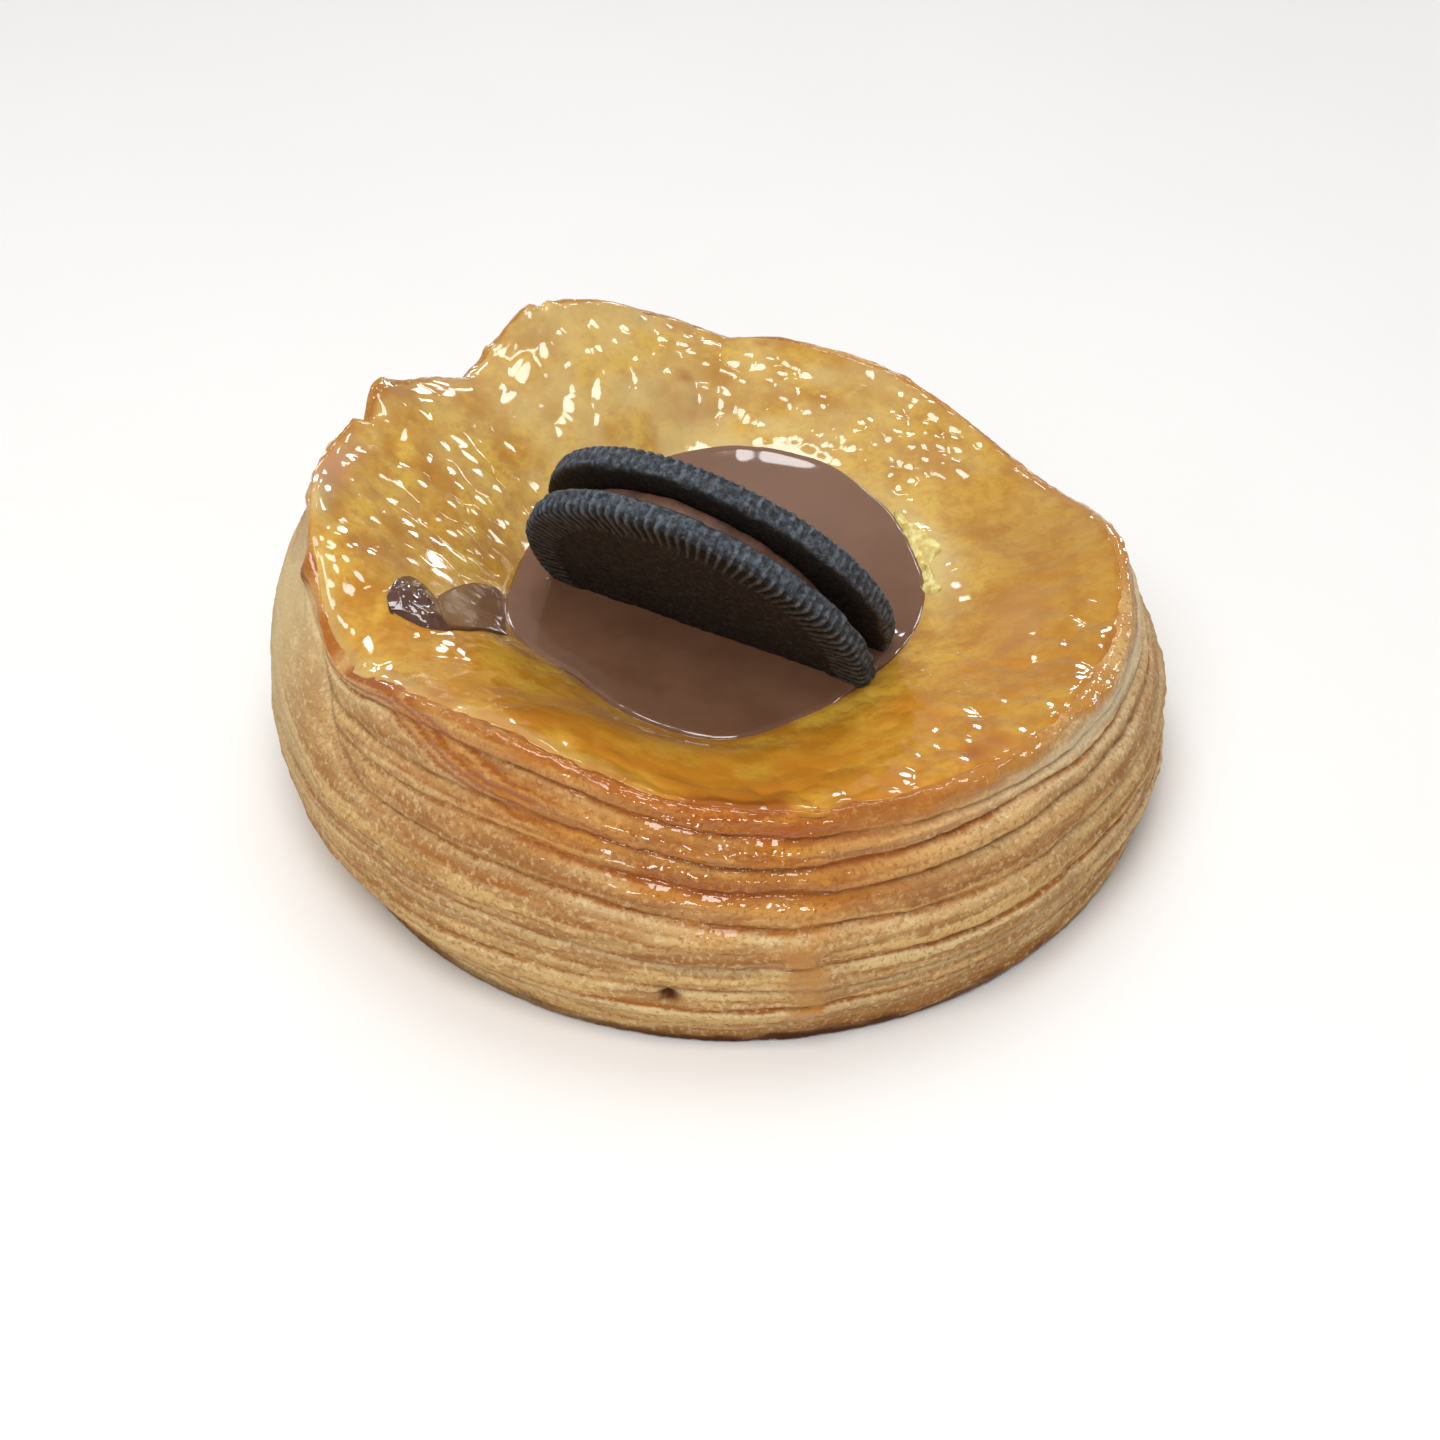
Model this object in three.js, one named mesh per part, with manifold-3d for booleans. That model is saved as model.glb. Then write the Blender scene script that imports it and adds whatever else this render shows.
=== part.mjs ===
// Danish pastry: a round of laminated dough with a dished, glazed top, a pool of chocolate
// cream in its well and a chocolate sandwich biscuit that stands in the cream.
// Millimetres, +Z up. The origin is on the table under the middle of the pastry, and the
// front of the pastry faces -Y. Angles round the pastry start at the right-hand side, +X,
// and grow anticlockwise as seen from above.

import * as THREE from 'three';
import { mergeVertices } from 'three/addons/utils/BufferGeometryUtils.js';
import Module from 'manifold-3d';

// Dough round
const BASE_RADIUS = 49.8;
const BASE_LEAN = { angle: -27, shift: 2.2 }; // the base stands out further on this side
const BULGE_RADIUS = 53.2;
const BULGE_SHARE = 0.42; // height of the widest line, as a share of the rim's height
const UNDERCUT_ROUNDNESS = 3; // how late the side turns in to the base
const RIM_RADIUS = 47.3;
const RIM_HEIGHT = 30.5;
const RIM_TILT = 5.2; // the left side stands this much higher, the right side as much lower
const SIDE_SLOPE = 1.25; // 1 for a straight slope from the bulge in to the rim, more for a round one
const UPRIGHT_SIDE = { angle: 168, spread: 48, power: 2.5 }; // here the side soon turns upright
const RIM_CROWN = 0.45; // how much the dished top flattens on its way out to the rim
const TOP_SWELL = 0.5; // height of the broad swellings of the top
const TOP_SWELLS = 7;
const SWELL_TWIST = 4; // radians that the swellings turn from the cream out to the rim

// Broad rises and dips of the side and of the dished top
const BODY_WAVES = [
  { angle: 180, spread: 34, rise: 2 },
  { angle: 114, spread: 14, rise: 4.6 },
  { angle: 35, spread: 20, rise: -4 },
  { angle: -38, spread: 25, rise: 1.5 },
  { angle: -117, spread: 16, rise: 3 },
];

// Rises and dips of the rim alone: the flaps' ends, the split between them, an edge that turns down
const EDGE_WAVES = [
  { angle: 8, spread: 14, rise: 2.1 },
  { angle: 89, spread: 5, rise: -1.5 },
  { angle: 121, spread: 3.5, rise: 1.4 },
  { angle: 133, spread: 7, rise: -3.4 },
  { angle: 152, spread: 4.5, rise: 2.8 },
  { angle: -155, spread: 13, rise: -7 },
];
const EDGE_FADE = 4; // how fast these fade away from the rim

// Dough layers that show round the side
const LAYER_TOPS = [0.2, 0.31, 0.43, 0.59, 0.72, 0.81, 0.9, 1]; // as shares of the rim's height
const LAYER_DEPTH = 1.3; // depth of the groove between two layers
const GROOVE_SHARPNESS = 4;
const LAYER_SWAY = { share: 0.022, waves: 2, phase: 1.7 }; // how a layer's line wanders up and down
const LAYER_STAGGER = { depth: 0.45, waves: 3, phase: 2.1 }; // how a layer stands out or sits back
const LAYER_TERRACE = 3; // how late in its thickness a layer steps in to the next one
const SMOOTH_LEAF = { angle: -160, spread: 30, share: 0.75 }; // layers under one smooth leaf

// Chocolate cream in the well
const POOL_X = -0.4;
const POOL_Y = 3.8;
const POOL_RADIUS = 25;
const POOL_LEVEL = 20.2;
const POOL_STEP = 0.7; // the cream's rounded edge stands this much above the dough round it
const POOL_CLIMB = { angle: 80, spread: 50, rise: 3.4 }; // the cream runs up the back of the dish
const POOL_WAVES = [
  { angle: 70, spread: 42, rise: 2.8 },
  { angle: -146, spread: 26, rise: -3 },
  { angle: -95, spread: 16, rise: 1.1 },
  { angle: -38, spread: 20, rise: -1 },
  { angle: -161, spread: 20, rise: 2.2 },
  { angle: -84, spread: 14, rise: 1.2 },
];
const WELL_FLOOR = 4.2;
const WELL_STEEPNESS = 4;

// Tongue of cream that has run up the left side of the dish: a neck, a waist and a pointed drop
const TONGUE_STATIONS = [
  { share: -0.12, angle: 189, halfWidth: 10 }, // share of the way out to the rim
  { share: 0.1, angle: 191.5, halfWidth: 12.8 },
  { share: 0.24, angle: 196, halfWidth: 12.8 },
  { share: 0.33, angle: 199.5, halfWidth: 9.8 },
  { share: 0.45, angle: 204.8, halfWidth: 4.4 },
  { share: 0.53, angle: 200.5, halfWidth: 6.4 },
  { share: 0.6, angle: 201, halfWidth: 3.8 },
  { share: 0.69, angle: 202.5, halfWidth: 0.8 },
];
const TONGUE_SLANT = 0.0072; // share that a crossing gains for each degree
const TONGUE_THICKNESS = 1.3;
const TONGUE_TAPER = 4; // where the half-width is less than this, the tongue thins
const TONGUE_RISE = 0.12; // share of the tongue's length over which it rises out of the cream
const TONGUE_SKIN = 0.12; // thickness at the tongue's sides, as a share of its middle

// Sandwich biscuit
const BISCUIT_RADIUS = 22;
const WAFER_THICKNESS = 3.1;
const WAFER_BEVEL = 1.1;
const WAFER_RIDGES = 104;
const RIDGE_DEPTH = 0.4;
const CREAM_THICKNESS = 2.9;
const CREAM_INSET = 3.8;
const BISCUIT_CENTRE = new THREE.Vector3(-1.2, -2.9, 27);
const BISCUIT_TURN = -29.5; // degrees round the upright, away from facing the front
const BISCUIT_LEAN = 28.9; // degrees forward of upright

const GAP = 0.35; // clearance between pieces that touch
const MERGE_DISTANCE = 1e-4; // points nearer than this are one point

const DOUGH = { color: 0xd09a3c, roughness: 0.35, metalness: 0 };
const CHOCOLATE = { color: 0x5e4433, roughness: 0.2, metalness: 0 };
const WAFER = { color: 0x2b2421, roughness: 0.85, metalness: 0 };
const CREAM = { color: 0x6b4a38, roughness: 0.6, metalness: 0 };

// Mesh density
const PASTRY_COLUMNS = 104;
const POOL_COLUMNS = 66;
const LAYER_ROWS = [0, 0.2, 0.7]; // shares of a layer's thickness
const TOP_ROWS = [0.97, 0.88, 0.72, 0.5, 0.28, 0.1, 0]; // shares of the way out to the rim
const WELL_ROWS = [0.96, 0.86, 0.6, 0.3]; // shares of the well's radius
const POOL_ROWS = [0.3, 0.6, 0.8, 0.92, 0.98];
const UNDERSIDE_RADIUS = 26;
const TONGUE_LONG_STEPS = 21;
const TONGUE_CROSS_STEPS = 6;
const CREAM_SIDES = 48;
const ENVELOPE_SIDES = 72;

const { lerp, degToRad } = THREE.MathUtils;
const wasm = await Module();
wasm.setup();

// A smooth rise of height 1 round the given angle.
function hump(theta, { angle, spread }) {
  const turn = theta - degToRad(angle);
  const away = Math.atan2(Math.sin(turn), Math.cos(turn));
  return Math.exp(-((away / degToRad(spread)) ** 2));
}

function sumOfWaves(theta, waves) {
  return waves.reduce((sum, wave) => sum + wave.rise * hump(theta, wave), 0);
}

// Height of the dough at a share of the way up the side, or out along the top, to the rim.
function doughHeight(theta, foot, climb, share) {
  const body = RIM_HEIGHT - RIM_TILT * Math.cos(theta) + sumOfWaves(theta, BODY_WAVES);
  return lerp(foot, body, climb) + sumOfWaves(theta, EDGE_WAVES) * share ** EDGE_FADE;
}

function rimHeight(theta) {
  return doughHeight(theta, 0, 1, 1);
}

function baseRadius(theta) {
  return BASE_RADIUS + BASE_LEAN.shift * Math.cos(theta - degToRad(BASE_LEAN.angle));
}

// Radius of the side without its layers: in at the base, widest at the bulge, in to the rim.
function sideRadius(theta, share) {
  const below = Math.max(0, 1 - share / BULGE_SHARE);
  const above = THREE.MathUtils.clamp((share - BULGE_SHARE) / (1 - BULGE_SHARE), 0, 1);
  const upright = 1 - (1 - above) ** UPRIGHT_SIDE.power;
  const drawIn = lerp(above ** SIDE_SLOPE, upright, hump(theta, UPRIGHT_SIDE));
  const undercut = (BULGE_RADIUS - baseRadius(theta)) * below ** UNDERCUT_ROUNDNESS;
  return BULGE_RADIUS - undercut - (BULGE_RADIUS - RIM_RADIUS) * drawIn;
}

// Height of the line under a layer, as a share of the rim's height.
function layerLine(theta, layer) {
  if (layer === 0) return 0;
  const inside = layer < LAYER_TOPS.length;
  const swing = Math.sin(LAYER_SWAY.waves * theta) * Math.cos(LAYER_SWAY.phase * layer);
  return LAYER_TOPS[layer - 1] + (inside ? LAYER_SWAY.share * swing : 0);
}

function sidePoint(theta, layer, share) {
  const low = layerLine(theta, layer);
  const high = layerLine(theta, layer + 1);
  const leaf = 1 - SMOOTH_LEAF.share * hump(theta, SMOOTH_LEAF);
  const groove = LAYER_DEPTH * (2 * share - 1) ** GROOVE_SHARPNESS;
  const stagger = Math.sin(LAYER_STAGGER.waves * theta + LAYER_STAGGER.phase * layer);
  const relief = leaf * (LAYER_STAGGER.depth * stagger - groove);
  const radius = sideRadius(theta, lerp(low, high, share ** LAYER_TERRACE)) + relief;
  const up = lerp(low, high, share);
  return polar(theta, radius, doughHeight(theta, 0, up, up));
}

function polar(theta, radius, z) {
  return new THREE.Vector3(radius * Math.cos(theta), radius * Math.sin(theta), z);
}

function poolRadius(theta) {
  return POOL_RADIUS + sumOfWaves(theta, POOL_WAVES);
}

// Height of the dough where it meets the edge of the cream.
function shoreHeight(theta) {
  return POOL_LEVEL - POOL_STEP + POOL_CLIMB.rise * hump(theta, POOL_CLIMB);
}

// A point of the well or of the cream, at a share of the well's radius less an inset.
function wellPoint(theta, share, inset, z) {
  const radius = (poolRadius(theta) - inset) * share;
  return new THREE.Vector3(POOL_X + radius * Math.cos(theta), POOL_Y + radius * Math.sin(theta), z);
}

function wellHeight(theta, share) {
  return lerp(WELL_FLOOR, shoreHeight(theta), share ** WELL_STEEPNESS);
}

// A point of the dished top, from the cream's edge at share 0 to the rim at share 1.
function topPoint(theta, share) {
  const shore = wellPoint(theta, 1, 0, shoreHeight(theta));
  const rim = polar(theta, RIM_RADIUS, rimHeight(theta));
  const climb = share * (1 + RIM_CROWN - RIM_CROWN * share);
  const wave = Math.sin(TOP_SWELLS * theta + SWELL_TWIST * share);
  const swell = TOP_SWELL * Math.sin(Math.PI * share) * wave;
  const point = shore.clone().lerp(rim, share);
  point.z = doughHeight(theta, shore.z, climb, share) + swell;
  return point;
}

function anglesRound(columns) {
  return Array.from({ length: columns }, (_, column) => (2 * Math.PI * column) / columns);
}

// A closed skin over rings of equal length, from its lower middle out, up and in again.
function skinOverRings(lowerMiddle, rings, upperMiddle) {
  const columns = rings[0].length;
  const points = [lowerMiddle, ...rings.flat(), upperMiddle];
  const at = (row, column) => 1 + row * columns + (column % columns);
  const last = points.length - 1;
  const triangles = [];
  for (let column = 0; column < columns; column++) {
    triangles.push(0, at(0, column + 1), at(0, column));
    for (let row = 0; row < rings.length - 1; row++) {
      triangles.push(at(row, column), at(row, column + 1), at(row + 1, column + 1));
      triangles.push(at(row, column), at(row + 1, column + 1), at(row + 1, column));
    }
    triangles.push(at(rings.length - 1, column), at(rings.length - 1, column + 1), last);
  }
  return new THREE.BufferGeometry().setFromPoints(points).setIndex(triangles);
}

function solidOf(geometry) {
  const bare = geometry.clone();
  bare.deleteAttribute('normal');
  bare.deleteAttribute('uv');
  const merged = mergeVertices(bare, MERGE_DISTANCE);
  const vertProperties = merged.attributes.position.array;
  const triVerts = new Uint32Array(merged.index.array);
  return new wasm.Manifold(new wasm.Mesh({ numProp: 3, vertProperties, triVerts }));
}

function geometryOf(solid) {
  const { vertProperties, triVerts } = solid.getMesh();
  const geometry = new THREE.BufferGeometry();
  geometry.setAttribute('position', new THREE.BufferAttribute(vertProperties, 3));
  geometry.setIndex(new THREE.BufferAttribute(triVerts, 1));
  geometry.computeVertexNormals();
  return geometry;
}

function namedMesh(name, geometry, finish) {
  const mesh = new THREE.Mesh(geometry, new THREE.MeshStandardMaterial(finish));
  mesh.name = name;
  return mesh;
}

// The dough: a flat underside, a layered side, a wavy rim, a dished top and the well.
function pastryGeometry() {
  const angles = anglesRound(PASTRY_COLUMNS);
  const rings = [
    angles.map((theta) => polar(theta, UNDERSIDE_RADIUS, 0)),
    angles.map((theta) => polar(theta, baseRadius(theta), 0)),
  ];
  LAYER_TOPS.forEach((top, layer) => {
    const shares = layer === 0 ? LAYER_ROWS.slice(1) : LAYER_ROWS;
    shares.forEach((share) => rings.push(angles.map((theta) => sidePoint(theta, layer, share))));
  });
  rings.push(angles.map((theta) => polar(theta, RIM_RADIUS, rimHeight(theta))));
  TOP_ROWS.forEach((share) => rings.push(angles.map((theta) => topPoint(theta, share))));
  WELL_ROWS.forEach((share) => {
    rings.push(angles.map((theta) => wellPoint(theta, share, 0, wellHeight(theta, share))));
  });
  return skinOverRings(polar(0, 0, 0), rings, new THREE.Vector3(POOL_X, POOL_Y, WELL_FLOOR));
}

// The cream: it fills the well and ends in a rounded edge, higher at the back of the dish.
function poolGeometry() {
  const angles = anglesRound(POOL_COLUMNS);
  const rings = [];
  const wellRing = (share) =>
    angles.map((theta) => wellPoint(theta, share, GAP, wellHeight(theta, share) + GAP));
  const topRing = (share) =>
    angles.map((theta) => {
      const climb = (shoreHeight(theta) + POOL_STEP - POOL_LEVEL) * share ** WELL_STEEPNESS;
      return wellPoint(theta, share, GAP, POOL_LEVEL + climb);
    });
  [...WELL_ROWS].reverse().forEach((share) => rings.push(wellRing(share)));
  rings.push(wellRing(1));
  [...POOL_ROWS].reverse().forEach((share) => rings.push(topRing(share)));
  const floorMiddle = new THREE.Vector3(POOL_X, POOL_Y, WELL_FLOOR + GAP);
  return skinOverRings(floorMiddle, rings, new THREE.Vector3(POOL_X, POOL_Y, POOL_LEVEL));
}

// A point over the dish, or over the cream where the share is negative.
function pointOverDish(theta, share, lift) {
  const point = topPoint(theta, Math.max(0, share));
  const inward = Math.min(0, share) * (RIM_RADIUS - POOL_RADIUS);
  return point.add(polar(theta, inward, lift));
}

// The tongue of cream: a flat run that lies along the dish, thin at its edges.
function tongueGeometry() {
  const stations = TONGUE_STATIONS.map((at) => new THREE.Vector3(at.share, at.angle, at.halfWidth));
  const course = new THREE.CatmullRomCurve3(stations, false, 'catmullrom');
  const crossings = [];
  for (let step = 0; step <= TONGUE_LONG_STEPS; step++) {
    const along = step / TONGUE_LONG_STEPS;
    const { x: share, y: angle, z: halfWidth } = course.getPoint(along);
    const ends = Math.min(1, halfWidth / TONGUE_TAPER, along / TONGUE_RISE + TONGUE_SKIN);
    const crossing = anglesRound(2 * TONGUE_CROSS_STEPS).map((turn) => {
      const across = halfWidth * Math.cos(turn);
      const height = Math.sin(turn) > 0 ? Math.sin(turn) : TONGUE_SKIN * (1 + Math.sin(turn));
      const lift = GAP + TONGUE_THICKNESS * ends * height;
      return pointOverDish(degToRad(angle + across), share + TONGUE_SLANT * across, lift);
    });
    crossings.push(crossing);
  }
  const middleOf = (crossing) =>
    crossing.reduce((sum, point) => sum.add(point), new THREE.Vector3()).divideScalar(crossing.length);
  return skinOverRings(middleOf(crossings[0]), crossings, middleOf(crossings.at(-1)));
}

// A wafer with a plain flat face, a bevelled edge and fine ridges all round the edge.
function waferGeometry() {
  const sides = 2 * WAFER_RIDGES;
  const profile = [
    new THREE.Vector2(0, 0),
    new THREE.Vector2(BISCUIT_RADIUS, 0),
    new THREE.Vector2(BISCUIT_RADIUS, WAFER_THICKNESS - WAFER_BEVEL),
    new THREE.Vector2(BISCUIT_RADIUS - WAFER_BEVEL, WAFER_THICKNESS),
    new THREE.Vector2(0, WAFER_THICKNESS),
  ];
  const wafer = new THREE.LatheGeometry(profile, sides);
  const position = wafer.attributes.position;
  for (let i = 0; i < position.count; i++) {
    const column = Math.floor(i / profile.length) % sides;
    const radius = Math.hypot(position.getX(i), position.getZ(i));
    if (radius > BISCUIT_RADIUS / 2 && column % 2 === 1) {
      const shrink = (radius - RIDGE_DEPTH) / radius;
      position.setX(i, position.getX(i) * shrink);
      position.setZ(i, position.getZ(i) * shrink);
    }
  }
  wafer.rotateX(Math.PI / 2);
  return geometryOf(solidOf(wafer));
}

function biscuitGroup() {
  const biscuit = new THREE.Group();
  biscuit.position.copy(BISCUIT_CENTRE);
  biscuit.rotation.set(degToRad(90 + BISCUIT_LEAN), 0, degToRad(BISCUIT_TURN), 'ZXY');

  const front = namedMesh('wafer_front', waferGeometry(), WAFER);
  front.position.z = CREAM_THICKNESS / 2;
  const back = namedMesh('wafer_back', waferGeometry(), WAFER);
  back.position.z = -CREAM_THICKNESS / 2;
  back.rotation.x = Math.PI;

  const creamRadius = BISCUIT_RADIUS - CREAM_INSET;
  const creamDepth = CREAM_THICKNESS - 2 * GAP;
  const cream = new THREE.CylinderGeometry(creamRadius, creamRadius, creamDepth, CREAM_SIDES);
  cream.rotateX(Math.PI / 2);
  biscuit.add(front, namedMesh('biscuit_cream', cream, CREAM), back);
  biscuit.updateMatrixWorld(true);
  return biscuit;
}

// The room that the biscuit takes up in the cream and the dough, with clearance all round.
function biscuitEnvelope(biscuit) {
  const radius = BISCUIT_RADIUS + GAP;
  const thickness = CREAM_THICKNESS + 2 * (WAFER_THICKNESS + GAP);
  const envelope = new THREE.CylinderGeometry(radius, radius, thickness, ENVELOPE_SIDES);
  envelope.rotateX(Math.PI / 2);
  envelope.applyMatrix4(biscuit.matrixWorld);
  return solidOf(envelope);
}

function buildDanish() {
  const biscuit = biscuitGroup();
  const envelope = biscuitEnvelope(biscuit);
  const dough = solidOf(pastryGeometry()).subtract(envelope);
  const chocolate = solidOf(poolGeometry()).add(solidOf(tongueGeometry())).subtract(envelope);

  const danish = new THREE.Group();
  danish.add(namedMesh('pastry', geometryOf(dough), DOUGH));
  danish.add(namedMesh('chocolate_pool', geometryOf(chocolate), CHOCOLATE));
  danish.add(biscuit);
  return danish;
}

export default buildDanish();
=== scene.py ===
import math

import bpy
import numpy as np
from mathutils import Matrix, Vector


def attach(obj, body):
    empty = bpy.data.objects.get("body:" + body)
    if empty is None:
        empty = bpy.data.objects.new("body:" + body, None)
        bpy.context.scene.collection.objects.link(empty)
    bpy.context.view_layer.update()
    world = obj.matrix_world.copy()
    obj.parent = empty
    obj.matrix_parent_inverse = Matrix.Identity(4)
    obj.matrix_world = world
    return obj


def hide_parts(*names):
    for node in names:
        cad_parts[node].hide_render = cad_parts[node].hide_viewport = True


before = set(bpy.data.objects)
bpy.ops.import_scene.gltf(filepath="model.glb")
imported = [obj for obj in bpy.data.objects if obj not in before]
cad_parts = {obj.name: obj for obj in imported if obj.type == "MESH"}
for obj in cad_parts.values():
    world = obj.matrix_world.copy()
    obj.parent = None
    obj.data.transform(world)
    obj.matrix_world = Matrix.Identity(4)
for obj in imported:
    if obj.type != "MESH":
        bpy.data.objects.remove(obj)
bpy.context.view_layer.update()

# Danish pastry: layered dough with a glazed skin, chocolate cream and a sandwich biscuit.
# Sizes are in millimetres, in the frame of the part's solids. The angles named here are in degrees,
# and theta, phi and turn in the functions are in radians. A pair that names a place round the pastry
# is its angle and its spread, and heights on the side are shares of the rim's height.

MM = 0.001

# Dough round
BASE_RADIUS = 49.8
BASE_LEAN_ANGLE = -27
BASE_LEAN = 2.2
BULGE_RADIUS = 53.2
BULGE_SHARE = 0.42
RIM_RADIUS = 47.3
RIM_HEIGHT = 30.5
RIM_TILT = 5.2
SIDE_SLOPE = 1.25
UPRIGHT_SIDE = (168, 48)
UPRIGHT_POWER = 2.5
RIM_CROWN = 0.45
TOP_SWELL = 0.5
TOP_SWELLS_ROUND = 7
UNDERCUT_POWER = 3
EDGE_POWER = 4
TEAR_POWER = 14

# Waves and tears of the rim: angle, spread and rise
BODY_WAVES = [(180, 34, 2), (114, 14, 4.6), (35, 20, -4), (-38, 25, 1.5), (-117, 16, 3)]
EDGE_WAVES = [(8, 14, 2.1), (89, 5, -1.5), (121, 3.5, 1.4), (133, 7, -3.4), (152, 4.5, 2.8), (-155, 13, -7)]
TEARS = [(156.3, 1.7, -3.4), (134, 1.2, -0.9), (128.5, 1.0, 0.7), (119, 0.8, -0.8)]

# Layers
LAYER_TOPS = [0.2, 0.31, 0.43, 0.59, 0.72, 0.81, 0.9, 1]
LAYER_SWAY = 0.022
LAYER_STAGGER = 0.25
LAYER_ROUND = 0.28
MAIN_CUT = 0.15
FINE_CUT = 0.1
STRIP_CUT = 0.18
CUT_WIDTH = 0.32
# How far the brown of a line reaches above and below it (baked colour, with painted shade on the lower part
# of the sheet above), and where the painted highlight on the top edge of the sheet below starts and how far
# it reaches
BROWN_AND_SHADE_REACH = (0.5, 0.25)
HIGHLIGHT_START = 0.12
HIGHLIGHT_REACH = 0.8
BOLD_LAYERS = (-48, 65)

# Lines inside the layers: layer and share of its height
FINE_LINES = [(0, 0.3), (0, 0.55), (0, 0.78), (1, 0.5), (2, 0.35), (2, 0.7), (3, 0.25), (3, 0.5), (3, 0.76),
              (4, 0.3), (4, 0.65), (5, 0.5), (6, 0.35), (6, 0.7), (7, 0.3), (7, 0.55), (7, 0.8)]

# Glossy strip under the skin's left edge, and the smooth leaf of dough below it. Climb, start, end,
# fall and rise are each the two angles between which that happens.
STRIP_HEIGHTS = (0.84, 0.985)
STRIP_CLIMB = (-115, -142)
STRIP_START = (-180, -170)
STRIP_END = (-118, -104)
STRIP_LINES = (-0.065, -0.028, 0.008, 0.04)
LEAF_LAYER = 4
LEAF_ANGLE = -166
LEAF_FALL = (0, 27)
LEAF_RISE = (-60, -25)
LEAF_TOP = 0.962
LEAF_SPACING = 0.012
SMOOTH_LEAF = (-160, 30)
LEAF_SMOOTHNESS = 0.75

# Distances that keep the random course of one line apart from the next
LAYER_APART = 40
MAIN_CUT_APART = 55
FINE_CUT_APART = 70
STRIP_CUT_APART = 90
SHEET_APART = 60

# Cream
POOL_CENTRE = (-0.4, 3.8)
POOL_RADIUS = 25
POOL_LEVEL = 20.2
POOL_STEP = 0.7
POOL_CLIMB = (80, 50)
POOL_CLIMB_HEIGHT = 3.4
POOL_CLIMB_POWER = 7
POOL_WAVES = [(70, 42, 2.8), (-146, 26, -3), (-95, 16, 1.1), (-38, 20, -1), (-161, 20, 2.2), (-84, 14, 1.2)]
WELL_FLOOR = 4.2
WELL_POWER = 4
WELL_SHARES = (0.3, 0.6, 0.86, 0.96)

# Biscuit
BISCUIT_RADIUS = 22
WAFER_THICKNESS = 3.1
WAFER_BEVEL = 1.1
WAFER_RIDGES = 104
CREAM_THICKNESS = 2.9
BISCUIT_CENTRE = np.array([-1.2, -2.9, 27])
BISCUIT_TURN = -29.5
BISCUIT_LEAN = 28.9

# Skin
SKIN_THICKNESS = 0.8
SKIN_REACH = RIM_RADIUS - POOL_RADIUS
SHEET_RADIUS = 37
FRONT_TEAR = (-116, 17)


# Small mathematics

def mix(low, high, share):
    return low + (high - low) * share


def smooth(low, high, value):
    share = np.clip((value - low) / (high - low), 0, 1)
    return share * share * (3 - 2 * share)


def bell(value, spread):
    return np.exp(-((value / spread) ** 2))


def wrapped(turn):
    return np.arctan2(np.sin(turn), np.cos(turn))


def hump(theta, angle, spread):
    return bell(wrapped(theta - np.radians(angle)), np.radians(spread))


def sum_of_waves(theta, waves):
    return sum(rise * hump(theta, angle, spread) for angle, spread, rise in waves)


def spot(theta, along, place, spread):
    """A soft patch round an angle and a share, 1 in its middle."""
    return hump(theta, place[0], spread[0]) * bell(along - place[1], spread[1])


HASH_FACTORS = np.array([374761393, 668265263, 1440670441])
SEED_FACTOR = 974634777
MIX_FACTORS = (1274126177, 2246822519)
HASH_LIMIT = 0xFFFFFF


def hashed(cell, seed):
    """A random number from 0 to 1 for each cell of a grid."""
    mixed = (cell * HASH_FACTORS).sum(-1) + seed * SEED_FACTOR
    mixed = (mixed ^ (mixed >> 13)) * MIX_FACTORS[0]
    mixed = (mixed ^ (mixed >> 15)) * MIX_FACTORS[1]
    return ((mixed ^ (mixed >> 16)) & HASH_LIMIT) / HASH_LIMIT


def noise(points, size, seed):
    """Smooth noise from -1 to 1 with features of about the given size; size may differ per axis."""
    scaled = points / np.asarray(size, float)
    cell = np.floor(scaled).astype(np.int64)
    part = scaled - cell
    fade = part * part * part * (part * (part * 6 - 15) + 10)
    total = 0
    for corner in np.ndindex(2, 2, 2):
        weight = np.prod(np.where(np.array(corner) == 1, fade, 1 - fade), axis=-1)
        total = total + weight * hashed(cell + np.array(corner), seed)
    return 2 * total - 1


def seed_distance(points, size, seed):
    """Distance to the nearest of scattered seeds, in cells of the given size."""
    scaled = points / size
    cell = np.floor(scaled).astype(np.int64)
    nearest = np.full(points.shape[:-1], np.inf)
    for step in np.ndindex(3, 3, 3):
        near = cell + np.array(step) - 1
        centre = near + np.stack([hashed(near, seed + axis) for axis in range(3)], -1)
        nearest = np.minimum(nearest, np.linalg.norm(scaled - centre, axis=-1))
    return nearest


# Shape of the dough

def polar(theta, radius, z):
    return np.stack(np.broadcast_arrays(radius * np.cos(theta), radius * np.sin(theta), z), -1)


def dough_height(theta, foot, climb, share):
    """Height of the dough: climb leads from the foot to the body, and share brings in the rim's waves."""
    body = RIM_HEIGHT - RIM_TILT * np.cos(theta) + sum_of_waves(theta, BODY_WAVES)
    edge = sum_of_waves(theta, EDGE_WAVES) * np.abs(share) ** EDGE_POWER
    tears = sum_of_waves(theta, TEARS) * np.clip(share, 0, 1.1) ** TEAR_POWER
    return mix(foot, body, climb) + edge + tears


def rim_height(theta):
    return dough_height(theta, 0, 1, 1)


def base_radius(theta):
    return BASE_RADIUS + BASE_LEAN * np.cos(theta - math.radians(BASE_LEAN_ANGLE))


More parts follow.
